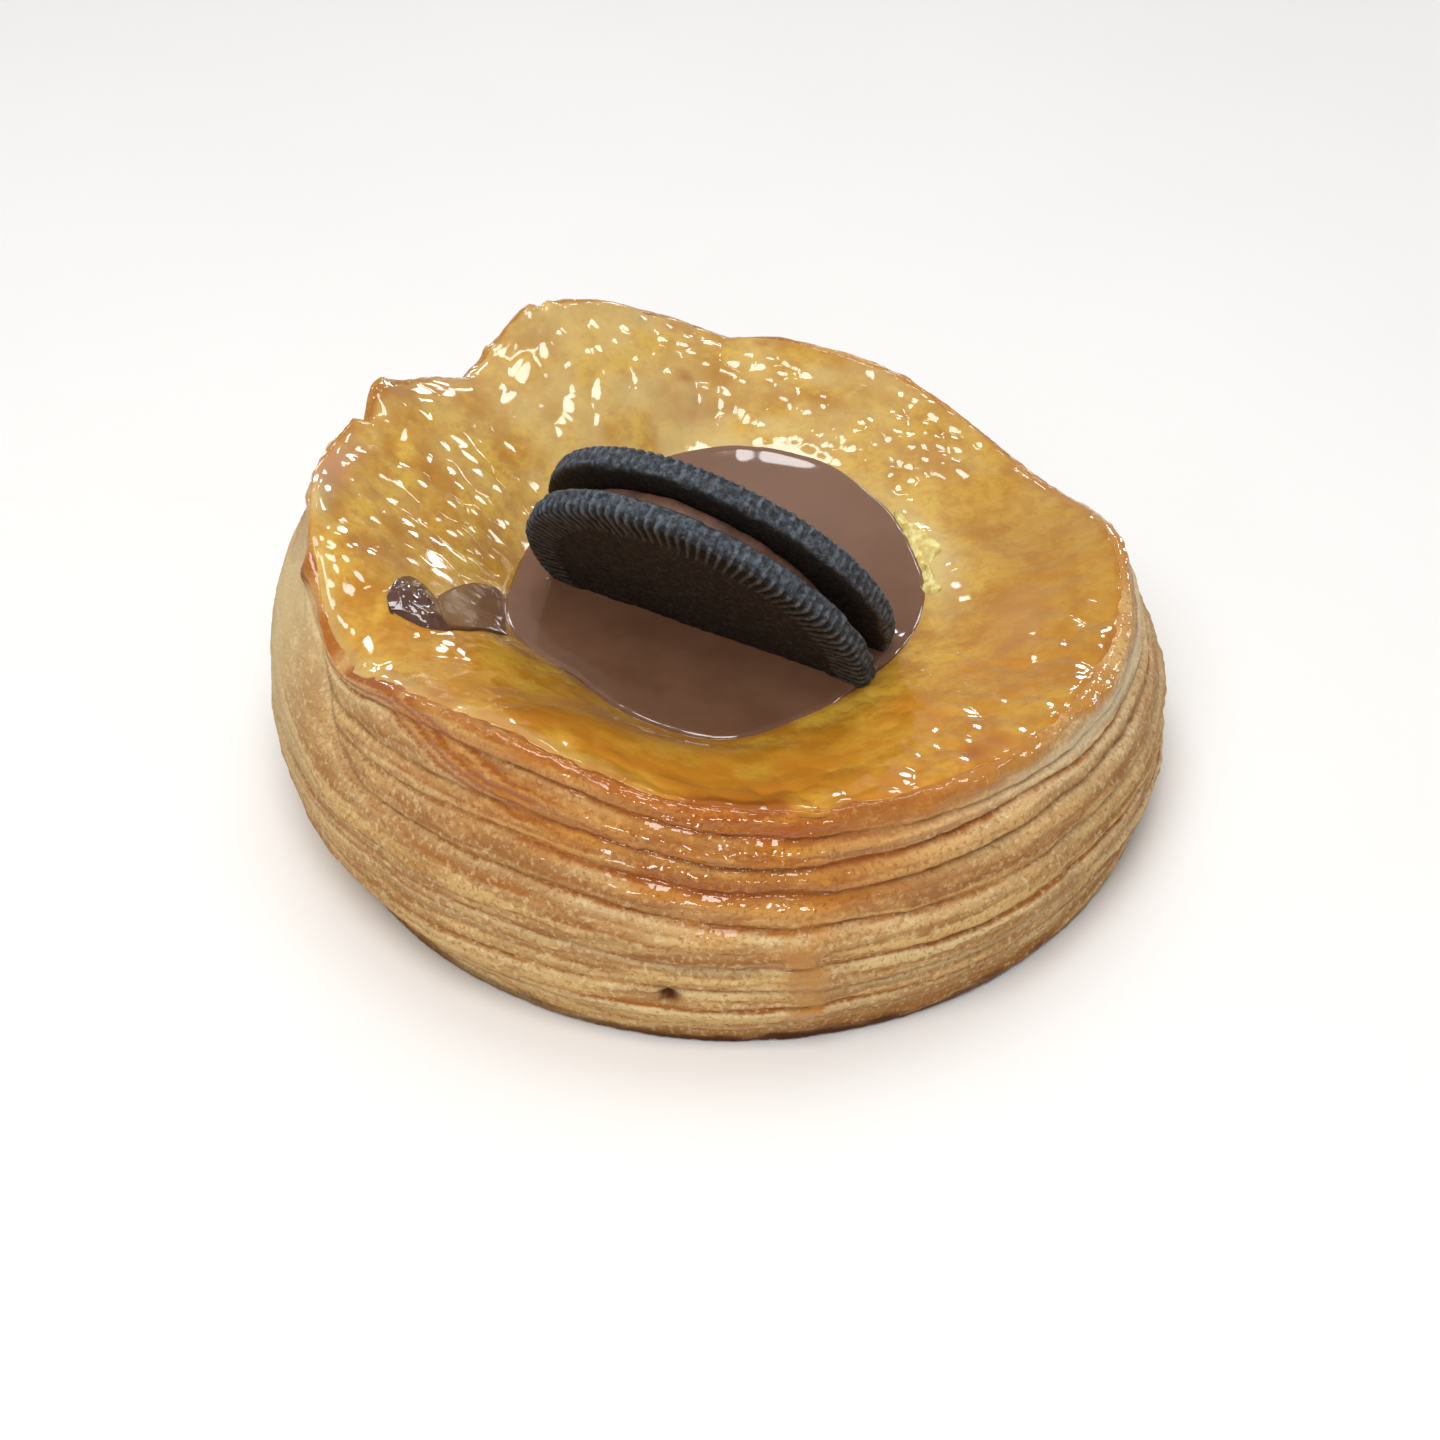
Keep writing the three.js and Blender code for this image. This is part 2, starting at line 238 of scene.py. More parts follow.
def side_radius(theta, share):
    """Radius of the plain side: undercut at the foot, widest at the bulge and drawn in to the rim."""
    below = np.maximum(0, 1 - share / BULGE_SHARE)
    above = np.clip((share - BULGE_SHARE) / (1 - BULGE_SHARE), 0, 1)
    upright = 1 - (1 - above) ** UPRIGHT_POWER
    draw_in = mix(above ** SIDE_SLOPE, upright, hump(theta, *UPRIGHT_SIDE))
    undercut = (BULGE_RADIUS - base_radius(theta)) * below ** UNDERCUT_POWER
    return BULGE_RADIUS - undercut - (BULGE_RADIUS - RIM_RADIUS) * draw_in


def pool_radius(theta):
    return POOL_RADIUS + sum_of_waves(theta, POOL_WAVES)


def shore_height(theta):
    return POOL_LEVEL - POOL_STEP + POOL_CLIMB_HEIGHT * hump(theta, *POOL_CLIMB)


def well_point(theta, radius, z):
    return polar(theta, radius, z) + np.array([*POOL_CENTRE, 0])


def well_height(theta, share):
    return mix(WELL_FLOOR, shore_height(theta), share ** WELL_POWER)


def top_point(theta, share):
    """A point of the dished top, from the cream's edge at share 0 to the rim at share 1."""
    shore = well_point(theta, pool_radius(theta), shore_height(theta))
    rim = polar(theta, RIM_RADIUS, rim_height(theta))
    point = mix(shore, rim, np.asarray(share)[..., None])
    climb = share * (1 + RIM_CROWN - RIM_CROWN * share)
    swell = TOP_SWELL * np.sin(np.pi * share) * np.sin(TOP_SWELLS_ROUND * theta + 4 * share)
    point[..., 2] = dough_height(theta, shore_height(theta), climb, share) + swell
    return point


def layer_lines(theta):
    """Heights of the lines between the layers, as shares of the rim's height."""
    ring = polar(theta, BULGE_RADIUS, 0 * theta)
    angle = np.degrees(wrapped(theta - math.radians(LEAF_ANGLE)))
    leaf_climb = np.where(angle > 0, 1 - smooth(*LEAF_FALL, angle), smooth(*LEAF_RISE, angle))
    lines = [0 * theta]
    for layer, top in enumerate(LAYER_TOPS[:-1], 1):
        place = ring + LAYER_APART * layer
        wander = 0.016 * noise(place, 19, 3) + 0.007 * noise(place, 6, 5)
        line = top + LAYER_SWAY * np.sin(2 * theta) * math.cos(1.7 * layer) + wander
        if layer == LEAF_LAYER:
            line = mix(line, LEAF_TOP, leaf_climb)
        if layer > LEAF_LAYER:
            line = np.maximum(line, lines[LEAF_LAYER] + LEAF_SPACING * (layer - LEAF_LAYER))
        lines.append(line)
    return lines + [1 + 0 * theta]


def strip_line(theta):
    """Height of the glossy strip under the skin's left edge, and how strongly it shows."""
    angle = np.degrees(wrapped(theta))
    height = mix(*STRIP_HEIGHTS, smooth(*STRIP_CLIMB, angle))
    return height, smooth(*STRIP_START, angle) * (1 - smooth(*STRIP_END, angle))


def layer_radius(theta, up, lines, leaf, bold):
    """Radius of the side, with each layer rounded and set a little in or out."""
    radius = 0 * up
    last = len(LAYER_TOPS) - 1
    for layer in range(last + 1):
        low = lines[layer]
        high = lines[layer + 1]
        share = np.clip((up - low) / (high - low), 0, 1)
        stagger = LAYER_STAGGER * np.sin(3 * theta + 2.1 * layer)
        rounded = LAYER_ROUND * (1 + 0.6 * bold) * (2 * share - 1) ** 4
        if layer == last:
            rounded = rounded * smooth(0.7, 0.3, share)
        here = side_radius(theta, mix(low, high, share ** 3)) + leaf * (stagger - rounded)
        radius = np.where(up >= low, here, radius)
    return radius


def sheet_lines(ring, lines, leaf, bold):
    """Height, depth and strength of each line between the sheets of dough."""
    around = polar(ring, BULGE_RADIUS, 0 * ring)
    cuts = []
    for layer in range(1, len(LAYER_TOPS)):
        strength = np.clip(0.75 + 0.5 * noise(around + MAIN_CUT_APART * layer, 9, 21), 0.3, 1.1)
        on_leaf = mix(1, leaf, 1 if layer > LEAF_LAYER else 0.5)
        cuts.append((lines[layer], MAIN_CUT, strength * on_leaf))
    for number, (layer, share) in enumerate(FINE_LINES):
        apart = around + FINE_CUT_APART * number
        strength = np.clip(0.42 + 0.8 * noise(apart, 12, 23), 0, 0.95) * (1 - 0.75 * bold)
        on_leaf = mix(1, leaf, 1 if layer >= LEAF_LAYER else 0.5)
        place = share + 0.16 * noise(apart, 10, 25)
        cuts.append((mix(lines[layer], lines[layer + 1], place), FINE_CUT, strength * on_leaf))
    strip, span = strip_line(ring)
    for number, offset in enumerate(STRIP_LINES):
        wander = 0.008 * noise(around + STRIP_CUT_APART * number, 5, 26)
        cuts.append((strip + offset + wander, STRIP_CUT, span))
    return cuts


def side_surface(theta, up):
    """Points of the layered side, with the lines between its sheets, the brown along them with painted
    shade, a painted highlight on each sheet's top edge, and each sheet's own tone.
    """
    ring = theta[:1]
    lines = layer_lines(ring)
    leaf = 1 - LEAF_SMOOTHNESS * hump(ring, *SMOOTH_LEAF)
    bold = hump(ring, *BOLD_LAYERS)
    flat = polar(theta, BULGE_RADIUS, up * RIM_HEIGHT)
    rough = 0.1 * noise(flat, (2.4, 2.4, 1.2), 27) + 0.05 * noise(flat, (0.8, 0.8, 0.6), 29)
    groove = 0 * up
    baked_brown_and_shade = 0 * up
    pale_and_painted_light = 0 * up
    sheet = 0 * up
    for line, depth, strength in sheet_lines(ring, lines, leaf, bold):
        above = (up - line) * rim_height(ring) + rough
        groove = np.maximum(groove, depth * strength * bell(above, CUT_WIDTH))
        # Brown above each line is baked colour in the line with painted shade on the lower part of the
        # sheet; pale below it is a painted highlight on the top edge of the next sheet down
        browned = np.where(above > 0, np.exp(-above / BROWN_AND_SHADE_REACH[0]), bell(above, BROWN_AND_SHADE_REACH[1]))
        baked_brown_and_shade = np.maximum(baked_brown_and_shade, strength * browned)
        lit_edge = np.where(above < -HIGHLIGHT_START, np.exp((above + HIGHLIGHT_START) / HIGHLIGHT_REACH), 0)
        pale_and_painted_light = np.maximum(pale_and_painted_light, strength * lit_edge)
        sheet = sheet + (above > 0)
    apart = polar(theta, BULGE_RADIUS, SHEET_APART * sheet)
    tone = noise(apart, (24, 24, 1), 33) * mix(0.4, 1, leaf)
    broken = noise(flat, (9, 9, 0.75), 31) + noise(flat, (4.5, 4.5, 0.375), 32) / 2
    sheets = 0.125 * broken + 0.1 * noise(flat, (4, 4, 0.4), 35) + 0.12 * tone
    crumb = 0.08 * noise(flat, 1.0, 41) + 0.06 * noise(flat, 0.55, 43)
    broad = 0.3 * noise(flat, 11, 45) + 0.12 * noise(flat, 4, 47)
    radius = layer_radius(theta, up, lines, leaf, bold) - groove
    radius = radius + mix(0.45, 1, leaf) * (sheets + crumb) + broad * smooth(0, 0.1, up)
    return polar(theta, radius, dough_height(theta, 0, up, up)), baked_brown_and_shade, pale_and_painted_light, tone


# Meshes

def ring_faces(rows, columns, closed=False):
    """Faces between rings of points; closed joins the last ring to the first."""
    bands = rows if closed else rows - 1
    row, column = np.meshgrid(np.arange(bands), np.arange(columns), indexing="ij")
    following = (row + 1) % rows
    beside = (column + 1) % columns
    corners = [row * columns + column, row * columns + beside,
               following * columns + beside, following * columns + column]
    return np.stack(corners, -1).reshape(-1, 4).tolist()


def add_piece(name, points, faces, masks, material, nodes):
    """A mesh with its masks and material, which takes the place of the named nodes."""
    mesh = bpy.data.meshes.new(name)
    mesh.from_pydata((points.reshape(-1, 3) * MM).tolist(), [], faces)
    for mask, values in masks.items():
        layer = mesh.attributes.new(mask, "FLOAT", "POINT")
        layer.data.foreach_set("value", np.ascontiguousarray(values, np.float32).ravel())
    mesh.shade_smooth()
    mesh.materials.append(material)
    piece = bpy.data.objects.new(name, mesh)
    bpy.context.collection.objects.link(piece)
    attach(piece, "root")
    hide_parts(*nodes)


def capped_rings(rings, start, end):
    """Points and faces of a closed skin over rings, with a middle point at each end."""
    rows, columns = rings.shape[:2]
    points = np.concatenate([rings.reshape(-1, 3), [start, end]])
    first = rows * columns
    last = first + 1
    faces = ring_faces(rows, columns)
    tail = (rows - 1) * columns
    for column in range(columns):
        beside = (column + 1) % columns
        faces.append([first, beside, column])
        faces.append([tail + column, tail + beside, last])
    return points, faces


def columns_round(columns):
    return np.arange(columns) * 2 * np.pi / columns


# Shader nodes

def colour(code):
    """Linear colour with full alpha for a screen colour such as #A06A30."""
    parts = [int(code[i:i + 2], 16) / 255 for i in (1, 3, 5)]
    return [*(c / 12.92 if c <= 0.04045 else ((c + 0.055) / 1.055) ** 2.4 for c in parts), 1]


class Surface:
    """One material, with short calls that add its shader nodes."""

    def __init__(self, name, **inputs):
        self.material = bpy.data.materials.new(name)
        self.material.use_nodes = True
        self.tree = self.material.node_tree
        self.shader = self.tree.nodes["Principled BSDF"]
        self.place = self.tree.nodes.new("ShaderNodeTexCoord").outputs["Object"]
        for socket, value in inputs.items():
            self.shader.inputs[socket.replace("_", " ")].default_value = value

    def feed(self, socket, value):
        if isinstance(value, bpy.types.NodeSocket):
            self.tree.links.new(value, socket)
        else:
            socket.default_value = value

    def to(self, name, value):
        self.feed(self.shader.inputs[name], value)

    def mask(self, name):
        node = self.tree.nodes.new("ShaderNodeAttribute")
        node.attribute_name = name
        return node.outputs["Fac"]

    def noise(self, size, detail=3, stretch=(1, 1, 1)):
        scale = self.tree.nodes.new("ShaderNodeMapping")
        scale.inputs["Scale"].default_value = [s / (size * MM) for s in stretch]
        self.tree.links.new(self.place, scale.inputs["Vector"])
        node = self.tree.nodes.new("ShaderNodeTexNoise")
        node.inputs["Scale"].default_value = 1
        node.inputs["Detail"].default_value = detail
        node.inputs["Roughness"].default_value = 0.6
        self.tree.links.new(scale.outputs["Vector"], node.inputs["Vector"])
        return node.outputs["Fac"]

    def steps(self, value, low, high, out_low=0.0, out_high=1.0):
        node = self.tree.nodes.new("ShaderNodeMapRange")
        node.interpolation_type = "SMOOTHSTEP"
        limits = {"From Min": low, "From Max": high, "To Min": out_low, "To Max": out_high}
        for socket, number in limits.items():
            node.inputs[socket].default_value = number
        self.feed(node.inputs["Value"], value)
        return node.outputs["Result"]

    def maths(self, operation, first, second):
        node = self.tree.nodes.new("ShaderNodeMath")
        node.operation = operation
        self.feed(node.inputs[0], first)
        self.feed(node.inputs[1], second)
        return node.outputs["Value"]

    def blend(self, share, first, second, kind="MIX"):
        node = self.tree.nodes.new("ShaderNodeMix")
        node.data_type = "RGBA"
        node.blend_type = kind
        self.feed(node.inputs["Factor"], share)
        for socket, value in ((node.inputs[6], first), (node.inputs[7], second)):
            self.feed(socket, colour(value) if isinstance(value, str) else value)
        return node.outputs[2]

    def bump(self, height, depth, strength=1.0, sockets=("Normal", "Coat Normal")):
        node = self.tree.nodes.new("ShaderNodeBump")
        node.inputs["Distance"].default_value = depth * MM
        node.inputs["Strength"].default_value = strength
        self.feed(node.inputs["Height"], height)
        for socket in sockets:
            self.to(socket, node.outputs["Normal"])


def layered_dough():
    dough = Surface("layered_dough", Roughness=0.65, Specular_IOR_Level=0.15, Coat_Roughness=0.05)
    cloud = dough.steps(dough.noise(7, 3, (1, 1, 2.5)), 0.3, 0.7, -0.2, 0.2)
    streak = dough.steps(dough.noise(5, 3, (1, 1, 7)), 0.35, 0.65, -0.12, 0.12)
    tone = dough.maths("ADD", dough.maths("ADD", dough.mask("tone"), cloud), streak)
    shade = dough.blend(dough.steps(tone, 0.1, 0.9), "#A06A30", "#D6AE6E")
    # Painted highlight on the top edge of each sheet, then brown along each line with painted shade on the
    # lower part of the sheet
    shade = dough.blend(dough.mask("pale_and_painted_light"), shade, "#EAD6A4")
    shade = dough.blend(dough.mask("baked_brown_and_shade"), shade, "#A45C1A")
    grain = dough.noise(0.55, 2)
    shade = dough.blend(dough.steps(grain, 0.5, 0.7, 0, 0.6), shade, "#96602C")
    speck = dough.noise(0.7, 2)
    shade = dough.blend(dough.steps(speck, 0.5, 0.72, 0, 0.45), shade, "#EED8A8")
    # A pale band of dough near the rim at the right, painted paler than its own colour as painted light
    shade = dough.blend(dough.mask("cream"), shade, "#F6E8C4")
    shade = dough.blend(dough.mask("leaf"), shade, "#D8C292")
    glaze = dough.mask("glaze")
    shade = dough.blend(dough.maths("MULTIPLY", glaze, 0.85), shade, "#B87A1E")
    wet = dough.mask("wet")
    shade = dough.blend(wet, shade, "#F0B82E", "MULTIPLY")
    shade = dough.blend(dough.mask("red"), shade, "#A0560E")
    # Burnt colour at the foot and on the knob, and painted shade filling the hole
    shade = dough.blend(dough.mask("burnt_and_hole_shade"), shade, "#54290F")
    dough.to("Base Color", shade)
    dough.to("Coat Weight", dough.maths("MULTIPLY", dough.maths("MAXIMUM", wet, glaze), 0.9))
    dough.bump(dough.noise(0.5, 3, (1, 1, 1.3)), 0.2, 1.0, ["Normal"])
    dough.bump(dough.noise(1.3, 1), 0.12, 1.0, ["Coat Normal"])
    return dough.material


def glazed_crust():
    crust = Surface("glazed_crust", Roughness=0.5, Specular_IOR_Level=0.05, Coat_Roughness=0.07)
    shade = crust.blend(crust.steps(crust.noise(6, 4), 0.36, 0.66), "#D2A63C", "#B0761A")
    shade = crust.blend(crust.steps(crust.noise(2.3, 4), 0.5, 0.75, 0, 0.6), shade, "#D2B056")
    shade = crust.blend(crust.steps(crust.noise(1.3, 4), 0.48, 0.74, 0, 0.6), shade, "#AA6C1A")
    shade = crust.blend(crust.steps(crust.noise(3.6, 3), 0.52, 0.68, 0, 0.5), shade, "#AE6E1A")
    shade = crust.blend(crust.steps(crust.noise(0.7, 3), 0.5, 0.7, 0, 0.35), shade, "#B47A20")
    # Painted shade: the right of the dish darkened to amber
    shade = crust.blend(crust.mask("amber_shade"), shade, "#A8701A")
    shade = crust.blend(crust.mask("orange"), shade, "#D68A26")
    # Pale left and front edges, blob and shore, and painted sheen paling the back
    shade = crust.blend(crust.mask("pale_and_painted_light"), shade, "#D2BA80")
    shade = crust.blend(crust.mask("bake"), shade, "#A05A1A")
    shade = crust.blend(crust.mask("rose"), shade, "#C08A5E")
    crust.to("Base Color", shade)
    crust.to("Coat Weight", crust.mask("gloss"))
    crust.bump(crust.noise(1.6, 1), 0.03, 0.5)
    return crust.material


def chocolate_cream():
    cream = Surface("chocolate_cream", Roughness=0.08)
    shade = cream.blend(cream.steps(cream.noise(6, 3), 0.35, 0.7), "#76533F", "#6C4B37")
    # Lighter film at the left and on the tongue's neck, and a painted reflection towards the back of the
    # pool
    shade = cream.blend(cream.mask("milky_and_reflection"), shade, "#836656")
    cream.to("Base Color", cream.blend(cream.mask("dark"), shade, "#543A34"))
    cream.bump(cream.noise(5, 2), 0.06, 0.3)
    return cream.material


def dark_wafer():
    wafer = Surface("dark_wafer", Roughness=0.68, Specular_IOR_Level=0.3)
    grain = wafer.noise(0.7, 4)
    shade = wafer.blend(wafer.steps(grain, 0.42, 0.7), "#1D1A19", "#3A3633")
    # Painted sheen: the rounded edge of the wafer turns bluish grey
    edge = wafer.blend(wafer.steps(grain, 0.38, 0.66), "#282C32", "#5C646E")
    shade = wafer.blend(wafer.mask("edge"), shade, edge)
    # Painted highlight on the tops of the ribs
    shade = wafer.blend(wafer.mask("rib_highlight"), shade, "#5A544F")
    # Painted shade in the grooves between the ribs
    shade = wafer.blend(wafer.mask("groove"), shade, "#0F0D0D")
    speck = wafer.noise(0.45, 2)
    shade = wafer.blend(wafer.steps(speck, 0.6, 0.74, 0, 0.6), shade, "#5C5853")
    wafer.to("Base Color", shade)
    wafer.bump(wafer.noise(0.4, 4), 0.2, 1.0)
    return wafer.material


def brown_cream():
    filling = Surface("brown_cream", Roughness=0.55, Specular_IOR_Level=0.3)
    shade = filling.blend(filling.steps(filling.noise(2, 3), 0.35, 0.7), "#7A5644", "#5C4033")
    filling.to("Base Color", shade)
    filling.bump(filling.noise(0.6, 3), 0.1, 0.6)
    return filling.material


def bare_crumb():
    crumb = Surface("bare_crumb", Roughness=0.7)
    shade = crumb.blend(crumb.steps(crumb.noise(1.1, 3), 0.35, 0.7), "#E6DC93", "#C9A850")
    crumb.to("Base Color", shade)
    crumb.bump(crumb.noise(0.4, 3), 0.15, 0.8)
    return crumb.material


# Layered dough

SIDE_COLUMNS = 640
SIDE_ROWS = 128
UNDERSIDE_RADIUS = 26
UNDERSIDE_INSET = 1.1
SIDE_SPAN = (0.006, 0.99)
BARE_BORDER = (0.99, 0.97, 0.95, 0.93, 0.91, 0.88)
COVERED_SHARES = (0.7, 0.4, 0.2, 0)
BARE_START = (0.88, 0.975)
BARE_DEPTH = 0.02
COVERED_DEPTH = 0.7
WET_FRONT = (-92, 32)
RED_FRONT = (-85, 15)
RED_BANDS = [(0.815, 0.025), (0.7, 0.02)]
STRIP_SPREAD = 0.05
CAP_LIP = 0.9
CAP_DEPTH = 0.05
RAISED_LIP = (-15, 42)
DRY_LIP = (-152, 24)
DRIP_ANGLE = -80
DRIP_HALF_WIDTH = 2.5
DRIP_HEIGHT = 0.25
BEAD_HEIGHT = 0.3
RIM_DROP_HEIGHT = 0.45
PALE_LEAF = (-172, 17)
BURNT_FOOT = (-80, 34)

# A pale band of dough, painted paler as painted light, and two marks: angle and height, the spread of both,
# and how far a mark stands out or in
LIT_PALE_BAND = ((-25, 0.89), (34, 0.05))
KNOB = ((-168, 0.955), (1.5, 0.035))
KNOB_HEIGHT = 1.1
# The hole is dug in and filled with the burnt colour as painted shade
HOLE = ((-96, 0.27), (1.1, 0.03))
HOLE_DEPTH = 1.3


def front_glaze(theta, up, points, baked_brown_and_shade):
    """Where glaze has wetted the side, where it has browned to red, its drip, and its cap at the rim."""
    patchy = noise(points, (6, 6, 2.5), 61)
    front = hump(theta, *WET_FRONT) * smooth(0.48, 0.76, up + 0.1 * patchy)
    sway = 0.012 * noise(points, (9, 9, 4), 62)
    across = wrapped(theta - math.radians(DRIP_ANGLE) - sway) / math.radians(DRIP_HALF_WIDTH)
    run = smooth(0.12, 0.2, up + 0.05 * patchy) * (1 - smooth(0.5, 0.65, up))
    drip = np.exp(-(across ** 4)) * run * smooth(-0.9, -0.1, noise(points, (2.2, 2.2, 2.8), 65))
    strip, span = strip_line(theta)
    left = span * bell(up - strip, STRIP_SPREAD) * (0.3 + 0.7 * baked_brown_and_shade)
    lip = CAP_LIP + 0.05 * hump(theta, *RAISED_LIP)
    cap = smooth(lip, lip + CAP_DEPTH, up + 0.04 * patchy) * (1 - hump(theta, *DRY_LIP))
    cap = cap * mix(0.35, 1, smooth(-0.4, 0.3, noise(points, (8, 8, 3), 67)))
    bands = hump(theta, *RED_FRONT) * sum(bell(up - height, spread) for height, spread in RED_BANDS)
    wet = np.clip(front * (0.9 + 0.3 * patchy) + 0.9 * left, 0, 1)
    red = 0.65 * bands * (0.8 + 0.6 * patchy) + baked_brown_and_shade * (0.9 * front + 0.65 * left)
    return wet, np.clip(red, 0, 0.9), drip, cap


def rings_under_skin(ring):
    """Rings of the dough from its bare border, under the skin, to the bottom of the well."""
    rings = []
    for share in (*BARE_BORDER, *COVERED_SHARES):
        border = top_point(ring, share + 0 * ring)
        blisters = (0.12 + 0.25 * hump(ring, *FRONT_TEAR)) * noise(border, 1.1, 64)
        under = mix(COVERED_DEPTH, BARE_DEPTH, smooth(*BARE_START, share)) - blisters
        rings.append(border - polar(ring, 0, under))
    for share in reversed(WELL_SHARES):
        height = well_height(ring, share) - SKIN_THICKNESS
        rings.append(well_point(ring, pool_radius(ring) * share, height))
    return rings


def build_side(material):
    """The layered side, the bare border of its rim and the dough under the skin."""
    theta = columns_round(SIDE_COLUMNS)[None, :] + np.zeros((SIDE_ROWS, 1))
    up = np.linspace(*SIDE_SPAN, SIDE_ROWS)[:, None] + 0 * theta
    side, baked_brown_and_shade, pale_and_painted_light, tone = side_surface(theta, up)
    wet, red, drip, cap = front_glaze(theta, up, side, baked_brown_and_shade)
    knob = spot(theta, up, *KNOB)
    hole = spot(theta, up, *HOLE)
    glaze = np.maximum(cap, drip)
    beads = BEAD_HEIGHT * np.maximum(wet, glaze) * np.maximum(0, noise(side, 1.1, 63))
    rim_drops = RIM_DROP_HEIGHT * cap * np.maximum(0, noise(side, 2.4, 68))
    outward = DRIP_HEIGHT * drip + KNOB_HEIGHT * knob - HOLE_DEPTH * hole + beads + rim_drops
    side = side + polar(theta, 1, 0) * outward[..., None]

    ring = theta[0]
    underside = [polar(ring, UNDERSIDE_RADIUS, 0), polar(ring, base_radius(ring) - UNDERSIDE_INSET, 0)]
    top = rings_under_skin(ring)
    rings = np.concatenate([np.array(underside), side, np.array(top)])
    middle = [*POOL_CENTRE, WELL_FLOOR - SKIN_THICKNESS]
    points, faces = capped_rings(rings, [0, 0, 0], middle)

    lit_pale_band = spot(theta, up, *LIT_PALE_BAND)
    foot = smooth(0.065, 0.025, up + 0.02 * noise(side, 3, 66)) * (0.5 + 0.5 * hump(theta, *BURNT_FOOT))
    masks = {
        "baked_brown_and_shade": baked_brown_and_shade,
        "pale_and_painted_light": 0.9 * pale_and_painted_light,
        # Pale band of dough, painted paler as painted light
        "cream": 0.75 * lit_pale_band * (1 - 0.6 * baked_brown_and_shade),
        "tone": 0.5 + 0.5 * tone,
        "leaf": 0.7 * hump(theta, *PALE_LEAF) * smooth(0.25, 0.5, up),
        "wet": wet,
        "red": red + knob,
        # The foot and the knob burnt, and the hole filled as painted shade
        "burnt_and_hole_shade": foot + 1.6 * hole + 0.4 * knob,
        "glaze": glaze,
    }
    before = len(underside) * SIDE_COLUMNS
    after = (len(top) - len(BARE_BORDER)) * SIDE_COLUMNS + 2
    padded = {}
    for name, values in masks.items():
        body = np.clip(np.concatenate([values, [values[-1]] * len(BARE_BORDER)]), 0, 1)
        padded[name] = np.pad(body.ravel(), (before, after), mode="edge")
    add_piece("dough_layers", points, faces, padded, material, ["pastry"])


# Glazed skin

SKIN_COLUMNS = 880
SKIN_ROWS = 102
SKIN_START = -0.03
SKIN_EDGE = 0.985
EDGE_ROUND = 0.006
EDGE_DROP = 0.25
EDGE_DEPTH = 0.62
UNDERSIDE_SHARES = (0, 0.2, 0.5, 0.8, 0.93, 1)
UNDERSIDE_DEPTHS = (0.6, 0.7)
SHORE_RISE = 0.5
SKIN_BLOB = ((-180, 0.95), (5, 0.06))
BLOB_HEIGHT = 0.9
RAGGED_FLAPS = (142, 22)
RAGGED_FRONT = (-75, 55)
SHORT_LEFT = (-158, 15)
DROP_SIZE = 2.8
DROP_STRETCH = np.array([1, 1, 1.3])
DROP_HEIGHT = 0.4

# Clusters of drops on the glaze: angle and share of the way to the rim
GLINT_PLACES = [(124, 0.93), (153, 0.83), (170, 0.79), (160, 0.59), (167, 0.36), (178, 0.23),
                (-178, 0.61), (-162, 0.84), (126, 0.38), (110, 0.63), (104, 0.43), (94, 0.33),
                (79, 0.66), (67, 0.44), (56, 0.44), (-18, 0.64), (-14, 0.84), (-22, 0.77),
                (-30, 0.9), (-45, 0.59), (-58, 0.78), (-70, 0.86), (-84, 0.86), (-97, 0.86),
                (-108, 0.8), (-147, 0.59)]
GLINT_SPREAD = (7, 0.1)

# Smooth and browned places: angle, share, and the spread of both
CALM_PLACES = [(197, 0.3, 16, 0.35), (14, 0.8, 15, 0.3), (-92, 0.35, 38, 0.33)]
BAKED_PLACES = [(-39, 0.89, 6, 0.08), (-49, 0.87, 7, 0.06), (94, 0.38, 8, 0.18), (-72, 0.8, 9, 0.07),
                (82, 0.9, 14, 0.05), (-86, 0.93, 12, 0.05), (150, 0.95, 10, 0.05)]

# Where the skin's colour changes: angle and spread, or angle and share and the spread of both
UNBROWNED_EDGE = (-150, 35)
BAKED_FRONT = (-90, 60)
PALE_LEFT_EDGE = (-152, 20)
PALE_FRONT_EDGE = (-118, 14)
PALE_SHORE = ((16, 0.08), (24, 0.14))
PALE_SHEEN_BACK = (100, 60)
ROSY_BLOB = ((172, 0.95), (6, 0.1))
ROSY_RIGHT = ((-12, 0.5), (10, 0.15))
AMBER_SHADE_RIGHT = (2, 50)
ORANGE_FRONT = (-88, 56)


def skin_relief(theta, share):
    """Drops and runs of the glaze on the dished top."""
    sheet = polar(theta, SHEET_RADIUS, share * SKIN_REACH)
    wanted = sum(spot(theta, share, place, GLINT_SPREAD) for place in GLINT_PLACES)
    lively = mix(0.3, 1, smooth(-0.35, 0.35, 0.7 * noise(sheet, 9, 71) + 1.1 * wanted))
    for place in CALM_PLACES:
        lively = lively * (1 - spot(theta, share, place[:2], place[2:]))
    drops = 1 - (seed_distance(sheet / DROP_STRETCH, DROP_SIZE, 76) / 0.75) ** 2
    broad = 0.17 * noise(sheet, (8, 8, 12), 79) + 0.05 * noise(sheet, (4, 4, 6), 73)
    return smooth(0, 0.1, share) * (broad + DROP_HEIGHT * lively * drops)


def skin_edge(ring):
    """Where the skin ends near the rim, ragged at the flaps and torn at the front left."""
    rim = polar(ring, RIM_RADIUS, 0 * ring)
    flaps = hump(ring, *RAGGED_FLAPS)
    front = hump(ring, *RAGGED_FRONT)
    ragged = (0.012 + 0.015 * front) * noise(rim, 5, 83) + (0.006 + 0.02 * flaps) * noise(rim, 1.7, 85)
    torn = hump(ring, *FRONT_TEAR) * (0.05 + 0.035 * noise(rim, 4, 84))
    return SKIN_EDGE + ragged - 0.015 * hump(ring, *SHORT_LEFT) - torn


